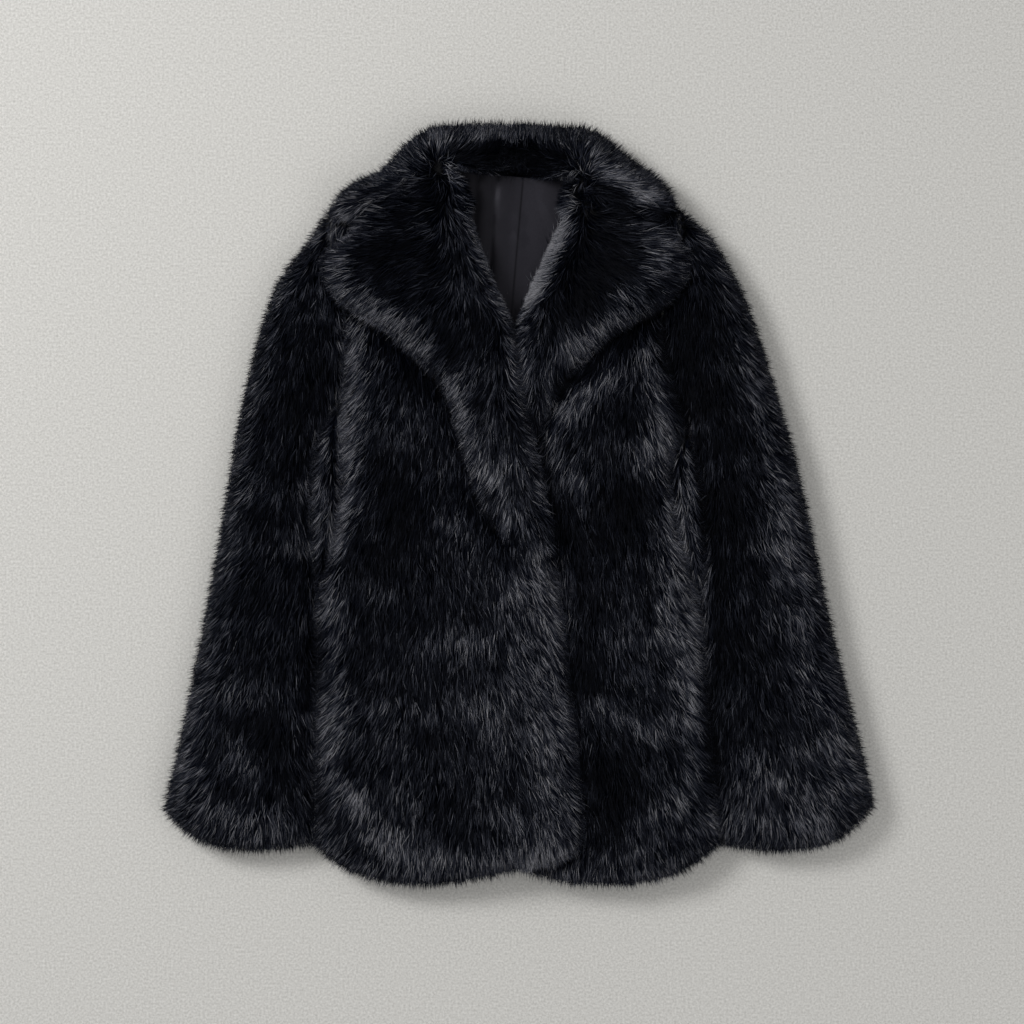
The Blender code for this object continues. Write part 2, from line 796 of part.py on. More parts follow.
def cut_slit(sleeve, side):
    """Part a flat sleeve's two walls with a thin level space, open at the cuff."""
    rows = (
        At("head", 218, 160),
        At("upper arm", 238, 60),
        At("elbow", 262, -60),
        At("lower arm", 292, -200),
        At("past the cuff", 320, -400),
    )
    half = (12, 30, 36, 44, 54)
    left = [(side * (row.x - h), row.y) for row, h in zip(rows, half)]
    right = [(side * (row.x + h), row.y) for row, h in zip(rows, half)]
    ring = left + right[::-1]
    low = [(x * MM, y * MM, SLIT_HEIGHT * MM) for x, y in ring]
    high = [(x * MM, y * MM, (SLIT_HEIGHT + SLEEVE_SLIT) * MM) for x, y in ring]
    count = len(ring)
    turn = 1 if area_of(np.array(ring)) > 0 else -1
    caps = [tuple(range(count))[::-turn], tuple(range(count, 2 * count))[::turn]]
    walls = [(i, (i + 1) % count, (i + 1) % count + count, i + count)[::turn] for i in range(count)]
    mesh = bpy.data.meshes.new("slit")
    mesh.from_pydata(low + high, [], caps + walls)
    cutter = bpy.data.objects.new("slit_" + sleeve.name, mesh)
    bpy.context.collection.objects.link(cutter)
    cutter.hide_render = True
    cutter.display_type = "WIRE"
    cut = sleeve.modifiers.new("slit", "BOOLEAN")
    cut.operation = "DIFFERENCE"
    cut.solver = "EXACT"
    cut.object = cutter


def principled(name, colour, roughness, sheen):
    material = bpy.data.materials.new(name)
    material.use_nodes = True
    shader = material.node_tree.nodes["Principled BSDF"]
    shader.inputs["Base Color"].default_value = colour
    shader.inputs["Roughness"].default_value = roughness
    shader.inputs["Metallic"].default_value = 0.0
    shader.inputs["Sheen Weight"].default_value = sheen
    material.diffuse_color = colour
    return material


def climb_guides():
    """The lines along which the climb over the underlap bends."""
    far = 420.0
    corners = {
        "start": ((UNDERLAP_X, CLIMB_TOP_Y), (UNDERLAP_X, -far)),
        "end": ((CLIMB_END_X, CLIMB_FULL_Y), (CLIMB_END_X, -far)),
        "top": ((UNDERLAP_X, CLIMB_TOP_Y), (60.0, CLIMB_TOP_Y)),
        "full": ((CLIMB_END_X, CLIMB_FULL_Y), (60.0, CLIMB_FULL_Y)),
        "hip": ((UNDERLAP_X, CLIMB_TOP_Y), (CLIMB_END_X, CLIMB_FULL_Y)),
    }
    return [np.array(ends) for ends in corners.values()]


def press_guide(cover):
    """A ring just outside a covering piece, inside which the piece below is flat."""
    ring = moved_in(SHAPES[cover], -PRESS_MARGIN)
    return np.vstack([ring, ring[:1]])


def beside(line, away):
    """A polyline moved sideways to the left of its direction."""
    run = np.gradient(line, axis=0)
    run /= np.hypot(*run.T)[:, None]
    return line + away * np.column_stack([-run[:, 1], run[:, 0]])


def build():
    for obj in list(bpy.data.objects):
        bpy.data.objects.remove(obj, do_unlink=True)
    pile = (3.0, 8.0, 16.0, 27.0)
    sides = {"right": -1, "left": 1}
    made = [slab("back", back_low, back_top, rings=(3.0, 14.0), step=60.0)]
    made.append(
        slab(
            "front_right",
            front_right_low,
            front_right_top,
            rings=pile,
            guides=climb_guides() + [press_guide("lapel_right"), press_guide("collar")],
        )
    )
    lap_end = np.array([(CLIMB_END_X, UNDERLAP_TOP_Y + 20), (CLIMB_END_X, -420.0)])
    made.append(
        slab(
            "front_left",
            front_left_low,
            front_left_top,
            rings=pile,
            guides=[lap_end, press_guide("front_right"), press_guide("lapel_left"), press_guide("collar")],
        )
    )
    for side, sign in sides.items():
        name, lapel = "sleeve_" + side, "lapel_" + side
        sleeve = slab(
            name,
            lambda p, n=name: sleeve_low(n, p),
            lambda p, n=name, over=lapel: sleeve_top(n, over, p),
            rings=pile,
            guides=[press_guide(lapel)],
        )
        cut_slit(sleeve, sign)
        made.append(sleeve)
        made.append(
            slab(
                "pocket_" + side,
                pocket_low,
                lambda p, n="pocket_" + side: pocket_top(n, p),
                rings=(4.0, 10.0),
            )
        )
    blends = [
        np.array([(NECK_MIDDLE_X + sign * half, 300.0), (NECK_MIDDLE_X + sign * half, 420.0)])
        for sign in (-1, 1)
        for half in (NECK_HALF, NECK_HALF - NECK_BLEND)
    ]
    drops = [
        beside(LINES["shoulder_" + side], away)
        for side in sides
        for away in (COLLAR_DROP_START, COLLAR_DROP_END)
    ]
    made.append(slab("collar", collar_low, collar_top, rings=pile, guides=drops + blends, step=24.0))
    made.append(
        slab("lapel_right", lapel_right_low, lapel_right_top, rings=pile, guides=climb_guides())
    )
    made.append(slab("lapel_left", lapel_left_low, lapel_left_top, rings=pile))
    made.append(slab("lining", lining_low, lining_top, rings=(6.0,), step=12.0))
    fur = principled("fur", FUR_COLOUR, 0.6, 0.3)
    for obj in made:
        material = fur.copy() if obj.name != "lining" else principled("satin", SATIN_COLOUR, 0.38, 0.1)
        material.name = "fur_" + obj.name if obj.name != "lining" else "satin_lining"
        obj.data.materials.append(material)


build()
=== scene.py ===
from collections import namedtuple

import bmesh
import bpy
import numpy as np
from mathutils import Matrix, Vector
from mathutils.bvhtree import BVHTree


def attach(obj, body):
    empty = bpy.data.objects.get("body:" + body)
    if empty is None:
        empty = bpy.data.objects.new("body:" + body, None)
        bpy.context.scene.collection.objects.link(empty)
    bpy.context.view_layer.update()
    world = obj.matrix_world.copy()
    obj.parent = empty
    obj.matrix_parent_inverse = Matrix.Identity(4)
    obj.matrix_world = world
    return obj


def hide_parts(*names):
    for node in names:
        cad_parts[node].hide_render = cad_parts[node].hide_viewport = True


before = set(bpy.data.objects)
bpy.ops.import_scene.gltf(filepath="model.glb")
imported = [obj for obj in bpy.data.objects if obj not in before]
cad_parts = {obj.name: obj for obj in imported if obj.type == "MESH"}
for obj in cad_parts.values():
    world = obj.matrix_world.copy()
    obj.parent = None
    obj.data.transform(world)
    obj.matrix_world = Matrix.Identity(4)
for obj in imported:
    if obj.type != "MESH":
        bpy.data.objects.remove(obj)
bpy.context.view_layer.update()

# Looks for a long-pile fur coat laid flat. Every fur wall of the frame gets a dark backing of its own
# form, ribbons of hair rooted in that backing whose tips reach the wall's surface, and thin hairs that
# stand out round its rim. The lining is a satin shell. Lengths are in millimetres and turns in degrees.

MM = 0.001

# ---- driving sizes ----
UP = (0.0, 0.0, 1.0)
HAIR_LENGTH = 23.0
SHORTEST = 0.72  # a hair's least share of that length
LENGTH_SPREAD = (0.3, 0.06, 0.1)  # and what it gains by chance, by its lock and by lying on top
BEND_AT = 0.45  # how far along a hair its bend lies
HAIRS_PER_MM2 = 0.92
DENSER = {"collar": 1.25, "lapel_right": 1.15, "lapel_left": 1.15, "back": 0.9}
ROOT_DEPTH = 7.5
GUARD_SHARE = 0.3  # of the tufts lie on top, the others are the darker undercoat
GUARD_WIDTH = 0.5
GUARD_MID_DEPTH = 0.4
GUARD_TIP_OVER = 1.3  # how far a tip stands over the wall's surface on average
UNDER_KEPT = 0.58  # the share of the undercoat's hairs that grow
UNDER_WIDTH = 0.95
UNDER_MID_DEPTH = 3.0
UNDER_TIP_OVER = -1.2
OVERSHOOT = (1.5, 3.0, 9.0)  # past an edge: an undercoat tip, a hair on top, and the longest few beyond it
FUZZ_WIDTH = 0.85  # how wide a hair that stands out past an edge is, against the others
MERGED_SHARE = 0.3  # above this share of merging, a hair crosses the edge between two pieces
SHORTER_AT_RIM = 0.5
SHORTER_AT_PARTING = 0.6
SHORTER_AT_NECK = 0.3
FRINGE_PER_MM2 = 0.2
FRINGE_WIDTH = 0.48
FRINGE_LENGTH = (3.0, 8.0, 4.0)  # beyond the wall: the least, and what chance and a level wall add
FRINGE_ROOT_DEPTH = 3.0
FRINGE_SLOPE = (-0.3, 0.8)  # the upward part of a rim's normal
FRINGE_FLOOR = 2.0  # no thin hair grows lower than this
# painted glint: the thin hairs round a rim are painted lighter
FRINGE_GLINT_TONE = 0.08
FLARE = 1.1  # how much the pile turns outward at an edge
FLARE_SIDE = {"sleeve_right": -1, "sleeve_left": 1}  # a sleeve's pile flares only away from the body
STRAY_SHARE = 0.5  # of the hairs keep straight where the wall turns away
STRAIGHT = 0.95  # how straight those stay
SLACK = (0.3, 0.5)  # how straight the others stay, and what they gain far past an edge
LIFT_SPREAD = (0.6, 0.7, 1.2)  # how a tip's height varies: by itself, with its lock and on a steep wall
MID_SPREAD = 0.5
LOWEST = (0.4, 0.6)  # a hair's height over the floor: the least, and what chance adds
CLUMP = 6.5  # across one lock
CLUMP_PULL = 0.1
TUFT = 0.95  # across the few hairs that stick together
TUFT_PULL = 0.55
SWIRL = (8, 14, 26)  # how a hair's turn varies: by itself, with its lock and with its tuft
COVER_REACH = 5.0  # a surface with another this close above it grows no hair
SLIT_Z = (17.4, 19.4)  # the space between a flat sleeve's two walls
TONE_ROWS = 4  # strips of the texture plane, which the hairs share out among themselves
HALF_U = 0.0016  # half of a hair's width on that plane
ROUNDNESS = 0.9  # how far a flat ribbon's normals turn to its sides, as on a round hair
BASE_TONE = 0.252
RIM_SHEEN_TONE = 0.32  # painted sheen: the pile is painted lighter where it turns away over an edge
TUFT_TONE = 0.68  # the few brightest tufts against the darkest
HAIR_TONE = 0.07
UNDER_TONE = -0.25

rng = np.random.default_rng(7)

Comb = namedtuple("Comb", "x y turn")
# Which way the pile lies: plan position, and the turn from straight down towards +X in degrees
COMBS = {
    "back": (Comb(0, 380, 180), Comb(-200, 0, -60), Comb(200, 0, 60), Comb(0, -380, 0)),
    "front_right": (
        Comb(-170, 180, -25),
        Comb(-100, 180, -5),
        Comb(-190, 40, -40),
        Comb(-120, 60, -8),
        Comb(-70, 10, -12),
        Comb(-205, -200, -38),
        Comb(-120, -150, -3),
        Comb(-40, -110, 5),
        Comb(20, -100, 28),
        Comb(45, -200, 30),
        Comb(60, -320, 32),
        Comb(-205, -340, -35),
        Comb(-120, -340, -3),
        Comb(0, -350, 8),
        Comb(-185, -385, -30),
    ),
    "front_left": (
        Comb(165, 180, 20),
        Comb(110, 190, 0),
        Comb(60, 120, -30),
        Comb(50, 60, -25),
        Comb(100, 100, -5),
        Comb(155, 100, 30),
        Comb(100, 0, 5),
        Comb(60, -50, 10),
        Comb(150, 0, 15),
        Comb(180, -150, 35),
        Comb(120, -120, 12),
        Comb(60, -150, 5),
        Comb(200, -300, 40),
        Comb(130, -280, 10),
        Comb(80, -330, 5),
        Comb(50, -385, 0),
        Comb(170, -380, 25),
    ),
    "sleeve_right": (
        Comb(-205, 280, -30),
        Comb(-240, 240, -35),
        Comb(-200, 220, -5),
        Comb(-205, 140, 0),
        Comb(-265, 150, -35),
        Comb(-240, 60, -12),
        Comb(-295, 40, -38),
        Comb(-225, -20, 0),
        Comb(-310, -60, -38),
        Comb(-260, -120, -15),
        Comb(-230, -200, 5),
        Comb(-335, -180, -40),
        Comb(-290, -220, -20),
        Comb(-225, -300, 15),
        Comb(-355, -290, -45),
        Comb(-300, -320, -15),
        Comb(-240, -345, 5),
        Comb(-365, -320, -55),
    ),
    "sleeve_left": (
        Comb(180, 270, 30),
        Comb(215, 240, 35),
        Comb(170, 210, 0),
        Comb(170, 130, -2),
        Comb(245, 150, 35),
        Comb(215, 60, 12),
        Comb(285, 40, 38),
        Comb(215, -40, 5),
        Comb(305, -60, 40),
        Comb(250, -120, 15),
        Comb(220, -200, -8),
        Comb(335, -180, 42),
        Comb(285, -220, 25),
        Comb(220, -300, -10),
        Comb(355, -290, 45),
        Comb(295, -320, 15),
        Comb(235, -345, -5),
        Comb(368, -315, 55),
    ),
    "pocket_right": (Comb(-200, 20, -25),),
    "pocket_left": (Comb(178, 0, 20),),
    "collar": (
        Comb(-30, 374, 180),
        Comb(30, 374, 180),
        Comb(0, 392, 180),
        Comb(0, 360, 175),
        Comb(-56, 374, 130),
        Comb(-60, 360, 95),
        Comb(-66, 384, 160),
        Comb(-82, 384, -172),
        Comb(-110, 368, -140),
        Comb(-100, 350, -120),
        Comb(-68, 343, 70),
        Comb(-140, 340, -110),
        Comb(-180, 320, -85),
        Comb(-170, 303, -60),
        Comb(-130, 325, -80),
        Comb(-100, 330, -70),
        Comb(-80, 330, -20),
        Comb(50, 366, -130),
        Comb(47, 350, -95),
        Comb(65, 384, 150),
        Comb(86, 370, 132),
        Comb(104, 357, 122),
        Comb(133, 337, 110),
        Comb(165, 316, 80),
        Comb(52, 338, -80),
        Comb(76, 338, 110),
        Comb(95, 332, 85),
        Comb(130, 320, 75),
        Comb(110, 318, 60),
        Comb(80, 322, 50),
    ),
    "lapel_right": (
        Comb(-52, 310, 78),
        Comb(-30, 260, 72),
        Comb(-12, 215, 66),
        Comb(2, 180, 52),
        Comb(-65, 290, 20),
        Comb(-45, 230, 10),
        Comb(-100, 290, -75),
        Comb(-90, 240, -60),
        Comb(-150, 270, -70),
        Comb(-190, 250, -80),
        Comb(-150, 210, -45),
        Comb(-80, 160, -40),
        Comb(-50, 120, -30),
        Comb(-30, 180, -20),
        Comb(-55, 60, -45),
        Comb(-20, 60, 0),
        Comb(10, 60, 40),
        Comb(20, 0, 35),
        Comb(-20, -20, -5),
        Comb(-35, 0, -30),
        Comb(28, -40, 25),
        Comb(10, 120, 40),
        Comb(-100, 322, -95),
        Comb(-150, 305, -95),
    ),
    "lapel_left": (
        Comb(52, 315, -88),
        Comb(38, 275, -84),
        Comb(20, 232, -74),
        Comb(4, 192, -56),
        Comb(60, 290, -35),
        Comb(80, 290, 75),
        Comb(80, 240, 60),
        Comb(140, 270, 80),
        Comb(165, 250, 75),
        Comb(130, 205, 45),
        Comb(80, 165, 40),
        Comb(40, 125, 20),
        Comb(15, 150, -15),
        Comb(20, 90, -10),
        Comb(40, 200, 20),
        Comb(90, 312, 100),
        Comb(140, 292, 95),
    ),
}

# The lining: its centre seam's x at the top, its lean and the top's y; the step at the seam; and the
# soft folds that run down it, each with its rise, its distance from the deepest one and its width
LINING_SEAM = (5.0, 0.087, 344.0)
SEAM_STEP = 0.7
Fold = namedtuple("Fold", "rise away width")
LINING_FOLDS = (Fold(-2.0, 0, 4.0), Fold(-0.9, -20, 4.5), Fold(0.8, 12, 7.0), Fold(0.6, -11, 5.0))
LINING_LEAST_Z = (15.3, 15.0)  # of its upper face, and of the others

# Where the pile of two pieces runs together and hides the edge between them
Merge = namedtuple("Merge", "pieces x y reach")
MERGED = (
    Merge(("lapel_right", "front_right"), 15, -34, 34),
    Merge(("collar", "lapel_right"), -78, 322, 26),
    Merge(("collar", "lapel_right"), -105, 318, 26),
    Merge(("collar", "lapel_right"), -62, 326, 16),
    Merge(("collar", "lapel_left"), 56, 322, 16),
    Merge(("collar", "lapel_left"), 82, 315, 24),
    Merge(("collar", "lapel_left"), 108, 308, 22),
    Merge(("collar", "lapel_left"), 134, 301, 20),
    Merge(("collar", "lapel_left"), 150, 296, 14),
    Merge(("collar", "lapel_right"), -132, 311, 22),
    Merge(("collar", "lapel_right"), -152, 304, 15),
)

# The pile is cut shorter along the neck opening
NECK_OPENING = ((-58, 345), (-48, 300), (-22, 240), (2, 180), (12, 205), (31, 262), (52, 335))
NECK_REACH = 17.0

# Where the pile parts all round a point and stands up
Whorl = namedtuple("Whorl", "x y reach")
WHORLS = (Whorl(-80, 348, 9), Whorl(62, 344, 10), Whorl(70, 319, 9))

# Painted highlights and painted shade on the pile, lighter on crests and rims and darker in hollows and
# under edges: a band along a course over the plan
LightBand = namedtuple("LightBand", "what width tone course")
LIGHT_AND_SHADE_BANDS = (
    LightBand("right side", 13, 0.3, ((-166, 183), (-177, 109), (-187, 54), (-184, 12), (-197, -48))),
    LightBand(
        "right side, low", 14, 0.28,
        ((-200, -108), (-194, -156), (-194, -227), (-200, -290), (-177, -318)),
    ),
    LightBand("right hem", 20, 0.3, ((-177, -318), (-121, -360), (-79, -374))),
    LightBand(
        "right lapel's low edge", 12, 0.24,
        ((-201, 274), (-191, 228), (-156, 199), (-114, 176), (-96, 156)),
    ),
    LightBand("lap ridge", 9, 0.36, ((-69, 123), (-51, 75), (-30, 18), (-8, -26))),
    LightBand("beside the lap ridge", 7, -0.2, ((-52, 100), (-40, 66))),
    LightBand("lap edge, high", 12, 0.2, ((-2, 33), (8, -10), (22, -66))),
    LightBand("right roll edge", 7, 0.2, ((-64, 340), (-48, 300), (-22, 240), (-4, 190), (4, 120))),
    LightBand("lap edge", 28, 0.34, ((26, -93), (34, -150), (33, -206), (31, -248), (33, -311), (33, -363))),
    LightBand("chest streak", 15, 0.2, ((-79, -24), (-51, -72))),
    LightBand("hip streak", 15, 0.26, ((-93, -156), (-35, -156))),
    LightBand("thigh streak", 17, 0.2, ((-135, -227), (2, -216))),
    LightBand("left roll edge", 10, 0.57, ((50, 322), (28, 262), (8, 212))),
    LightBand("left roll edge, low", 12, 0.14, ((15, 207), (19, 151))),
    LightBand(
        "left lapel's low edge", 12, 0.27,
        ((131, 285), (161, 267), (150, 237), (103, 203), (68, 161), (33, 130)),
    ),
    LightBand("left chest fold", 14, 0.4, ((89, 123), (47, 88), (36, 54), (61, 12))),
    LightBand("left side, high", 14, 0.34, ((138, 144), (152, 102), (152, 60), (131, 33))),
    LightBand("left side", 15, 0.34, ((170, 4), (166, -38), (159, -122), (180, -206))),
    LightBand("left hip", 16, 0.18, ((116, -148), (140, -152))),
    LightBand("left thigh", 16, 0.28, ((96, -227), (140, -246), (162, -236))),
    LightBand("left hem", 16, 0.3, ((166, -318), (124, -360))),
    LightBand("left elbow", 22, 0.36, ((269, -22), (283, -80))),
    LightBand("left sleeve's edge", 16, 0.24, ((296, -122), (332, -248))),
    LightBand("left cuff", 30, 0.28, ((250, -297), (313, -321), (338, -300))),
    LightBand("right wrist", 12, 0.2, ((-298, -258), (-271, -290))),
    LightBand("right cuff", 16, 0.32, ((-329, -316), (-306, -337), (-262, -346))),
    LightBand("right neck point", 10, 0.36, ((-80, 385), (-62, 335))),
    LightBand("left turn of the collar", 15, 0.48, ((61, 366), (107, 345), (143, 322))),
    LightBand("right notch", 10, 0.36, ((-161, 314), (-193, 282))),
    LightBand("left waist hollow", 26, -0.26, ((112, 6), (108, -40))),
    LightBand("left hip hollow", 18, -0.16, ((75, -175), (75, -195))),
    LightBand("left thigh hollow", 30, -0.3, ((92, -275), (108, -345))),
    LightBand("left armhole", 22, -0.22, ((158, 210), (173, 150), (190, 100))),
    LightBand("left upper arm", 26, -0.14, ((195, 190), (215, 60), (215, -60), (227, -190))),
    LightBand("right thigh hollow", 24, -0.14, ((-140, -255), (-100, -255))),
    LightBand("right hem hollow", 22, -0.2, ((-80, -330), (-58, -332))),
    LightBand("beside the lap", 10, -0.2, ((44, 78), (61, -59), (64, -206))),
    LightBand("inside the right lapel", 32, -0.14, ((-128, 285), (-118, 250))),
    LightBand("inside the right lapel, low", 24, -0.14, ((-80, 195), (-60, 165))),
    LightBand("inside the left lapel", 30, -0.22, ((100, 292), (112, 250), (95, 228))),
    LightBand("right wrist hollow", 16, -0.24, ((-280, -235), (-240, -290))),
    LightBand("right elbow hollow", 22, -0.12, ((-230, 90), (-240, 0))),
    LightBand("under the right lapel", 9, -0.2, ((-166, 172), (-93, 109))),
    LightBand("under the left lapel", 9, -0.24, ((44, 114), (138, 183))),
    LightBand("under the lap ridge", 11, -0.16, ((-40, -6), (-19, -59))),
    LightBand("collar band", 16, -0.3, ((-48, 366), (50, 366))),
    LightBand("beside the right side", 8, -0.2, ((-222, -70), (-222, -200), (-216, -330))),
    LightBand("beside the left side", 9, -0.26, ((190, 60), (205, -60), (210, -200), (204, -310))),
    LightBand("right waist hollow", 22, -0.2, ((-165, -72), (-135, -72))),
    LightBand("right chest hollow", 26, -0.12, ((-135, 30), (-120, -40))),
    LightBand("inside the right lapel, at its low edge", 16, -0.14, ((-125, 205), (-80, 150), (-65, 100))),
    LightBand("right hem, inner", 20, 0.2, ((-150, -235), (-115, -320))),
    LightBand("lap edge, inner", 18, 0.24, ((-6, -95), (-2, -185))),
    LightBand("lap edge, inner and low", 18, 0.16, ((-30, -235), (-25, -310), (0, -350))),
    LightBand("left thigh, inner", 14, 0.2, ((75, -220), (95, -260))),
    LightBand("left hem's edge", 10, 0.2, ((80, -380), (130, -378), (185, -345))),
    LightBand("right hem's edge", 11, 0.22, ((-170, -358), (-100, -385), (-30, -385), (10, -380))),
    LightBand("left cuff's edge", 12, 0.24, ((212, -335), (260, -345), (320, -340))),
    LightBand("left chest fold's foot", 16, 0.16, ((80, 50), (90, 30))),
    LightBand("left side's edge", 8, 0.24, ((178, 70), (187, 0), (186, -100), (190, -240))),
    LightBand("left thigh, outer", 14, 0.24, ((188, -240), (184, -300))),
    LightBand("left cuff, outer", 16, 0.2, ((300, -270), (325, -262))),
    LightBand("left lapel, inner", 26, -0.26, ((88, 240), (60, 195))),
    LightBand("left armhole, inner", 16, -0.2, ((166, 170), (180, 70))),
    LightBand("left elbow, inner", 22, -0.16, ((212, -10), (235, -20))),
    LightBand("right armhole", 16, -0.2, ((-205, 130), (-212, 100))),
    LightBand("right chest, low", 18, -0.14, ((-140, 5), (-120, -10))),
    LightBand("right lapel's outer half", 24, -0.14, ((-175, 268), (-150, 245))),
    LightBand("right sleeve's edge", 16, 0.14, ((-330, -210), (-350, -290))),
    LightBand("left neck point", 9, 0.12, ((50, 352), (58, 326))),
    LightBand("left sleeve's edge, high", 11, 0.2, ((226, 168), (250, 95), (272, 25), (290, -30))),
    LightBand("left upper arm, low", 18, -0.12, ((222, 45), (214, 10))),
    LightBand("left chest fold, foot", 11, 0.14, ((56, 12), (66, -30))),
    LightBand("lap ridge, inner", 10, 0.12, ((-40, 104), (-26, 60))),
    LightBand("right pocket", 7, 0.18, ((-206, 62), (-211, 15), (-212, -20))),
    LightBand("right upper arm", 24, -0.12, ((-240, 170), (-228, 110))),
    LightBand("under the lap ridge, high", 10, -0.12, ((-74, 78), (-57, 28))),
    LightBand("right forearm", 24, -0.1, ((-285, -105), (-272, -150))),
    LightBand("right forearm's crest", 12, 0.12, ((-305, -200), (-278, -222))),
    LightBand("right fall of the collar", 12, 0.18, ((-150, 338), (-125, 336))),
)


# ---- numbers over the plan ----
def unit(vectors):
    return vectors / np.maximum(np.linalg.norm(vectors, axis=1), 1e-9)[:, None]


def smooth(t):
    t = np.clip(t, 0, 1)
    return t * t * (3 - 2 * t)


LATTICE = np.random.default_rng(11).random((8, 64, 64))
Swell = namedtuple("Swell", "gain width height layer")
TONE_SWELLS = (Swell(0.07, 70, 26, 0), Swell(0.07, 30, 15, 1), Swell(0.03, 9, 14, 2))
NAP_SWELLS = (Swell(9, 38, 30, 3), Swell(4, 14, 14, 4))
LIFT_SWELLS = (Swell(0.9, 34, 20, 5),)
LUMP_SWELLS = (Swell(0.7, 7, 9, 6), Swell(0.5, 3.4, 3.4, 7))
BAND_SWAY = 6.0  # how far a band wanders from its course


def noise(plan, width, height, layer):
    """Smooth noise from -1 to 1 whose swells measure width by height."""
    x, y = plan[:, 0] / width + 17.3 * layer, plan[:, 1] / height + 9.7 * layer
    i, j = np.floor(x).astype(int), np.floor(y).astype(int)
    s, t = smooth(x - i), smooth(y - j)
    grid = LATTICE[layer]
    low = grid[i % 64, j % 64] * (1 - s) + grid[(i + 1) % 64, j % 64] * s
    high = grid[i % 64, (j + 1) % 64] * (1 - s) + grid[(i + 1) % 64, (j + 1) % 64] * s
    return 2 * (low * (1 - t) + high * t) - 1


def swells(plan, rows, start=0.0):
    """What several patterns of noise add up to, from a start."""
    return sum((row.gain * noise(plan, row.width, row.height, row.layer) for row in rows), start)


def nap_of(name, plan):
    """The pile's level direction at each plan point."""
    rows = COMBS[name]
    marks = np.array([(row.x, row.y) for row in rows], float)
    turns = np.radians([row.turn for row in rows])
    ways = np.column_stack([np.sin(turns), -np.cos(turns)])
    apart = np.linalg.norm(plan[:, None] - marks[None], axis=2)
    weight = 1 / (apart + 8.0) ** 3
    return unit(weight @ ways)


def away_from(plan, course):
    """Each plan point's distance from a course of straight stretches."""
    nearest = np.full(len(plan), 1e9)
    for start, end in zip(np.array(course[:-1], float), np.array(course[1:], float)):
        run = end - start
        share = np.clip((plan - start) @ run / (run @ run), 0, 1)
        nearest = np.minimum(nearest, np.linalg.norm(plan - start - share[:, None] * run, axis=1))
    return nearest


def tone_and_painted_light(plan):
    """How much lighter or darker the pile is painted at each plan point: painted highlights and shade along
    the bands, and a tone that differs at random.
    """
    sway = np.column_stack([noise(plan, 30, 30, 1), noise(plan, 30, 30, 2)])
    swayed = plan + BAND_SWAY * sway
    tone = np.zeros(len(plan))
    # painted highlight or painted shade along each band
    for band in LIGHT_AND_SHADE_BANDS:
        tone += band.tone * np.exp(-((away_from(swayed, band.course) / band.width) ** 2))
    return swells(plan, TONE_SWELLS, tone)


def near_neck(plan):
    """From 0 to 1, how near each plan point is to the neck opening, where the pile is cut shorter."""
    return np.exp(-((away_from(plan, NECK_OPENING) / NECK_REACH) ** 2))


# ---- the frame's walls ----
class Wall:
    """A CAD node's surface in millimetres: welded points, triangles, smooth normals, a search tree."""

    def __init__(self, node):
        mesh = node.data
        mesh.calc_loop_triangles()
        raw = np.empty(len(mesh.vertices) * 3)
        mesh.vertices.foreach_get("co", raw)
        raw = raw.reshape(-1, 3) / MM
        corners = np.empty(len(mesh.loop_triangles) * 3, int)
        mesh.loop_triangles.foreach_get("vertices", corners)
        keys, index = np.unique(np.round(raw, 3), axis=0, return_inverse=True)
        self.points = keys
        tris = index.reshape(-1)[corners].reshape(-1, 3)
        flat = (tris[:, 0] == tris[:, 1]) | (tris[:, 1] == tris[:, 2]) | (tris[:, 0] == tris[:, 2])
        self.tris = tris[~flat]
        a, b, c = (self.points[self.tris[:, i]] for i in range(3))
        cross = np.cross(b - a, c - a)
        self.areas = 0.5 * np.linalg.norm(cross, axis=1)
        self.faces = unit(cross)
        summed = np.zeros_like(self.points)
        for i in range(3):
            np.add.at(summed, self.tris[:, i], cross)
        self.normals = unit(summed)
        self.tree = BVHTree.FromPolygons(self.points.tolist(), self.tris.tolist())

    def at(self, face, place):
        """Smooth normals at places on faces."""
        tri = self.tris[face]
        a, b, c = (self.points[tri[:, i]] for i in range(3))
        v0, v1, v2 = b - a, c - a, place - a
        d00, d01, d11 = (v0 * v0).sum(1), (v0 * v1).sum(1), (v1 * v1).sum(1)
        d20, d21 = (v2 * v0).sum(1), (v2 * v1).sum(1)
        det = np.maximum(d00 * d11 - d01 * d01, 1e-12)
        v = np.clip((d11 * d20 - d01 * d21) / det, 0, 1)
        w = np.clip((d00 * d21 - d01 * d20) / det, 0, 1)
        u = np.clip(1 - v - w, 0, 1)
        blend = sum(s[:, None] * self.normals[tri[:, i]] for i, s in enumerate((u, v, w)))
        return unit(blend)

    def nearest(self, places):
        """The nearest places on the wall, and the smooth normals there."""
        found = [self.tree.find_nearest(p) for p in places.tolist()]
        on = np.array([f[0][:] for f in found])
        return on, self.at(np.array([f[2] for f in found]), on)

    def scattered(self, density, source):
        """Random places all over the wall, their faces' normals and the smooth ones."""
        weight = self.areas * (self.faces[:, 2] > -0.35)
        count = int(density * weight.sum())
        face = source.choice(len(self.tris), count, p=weight / weight.sum())
        r, s = np.sqrt(source.random(count)), source.random(count)
        a, b, c = (self.points[self.tris[face, i]] for i in range(3))
        place = (1 - r)[:, None] * a + (r * (1 - s))[:, None] * b + (r * s)[:, None] * c
        return place, self.faces[face], self.at(face, place)


WALLS = {name: Wall(node) for name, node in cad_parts.items()}


def all_walls():
    points, tris, first = [], [], 0
    for wall in WALLS.values():
        points.append(wall.points)
        tris.append(wall.tris + first)
        first += len(wall.points)
    return BVHTree.FromPolygons(np.vstack(points).tolist(), np.vstack(tris).tolist())


ALL_WALLS = all_walls()


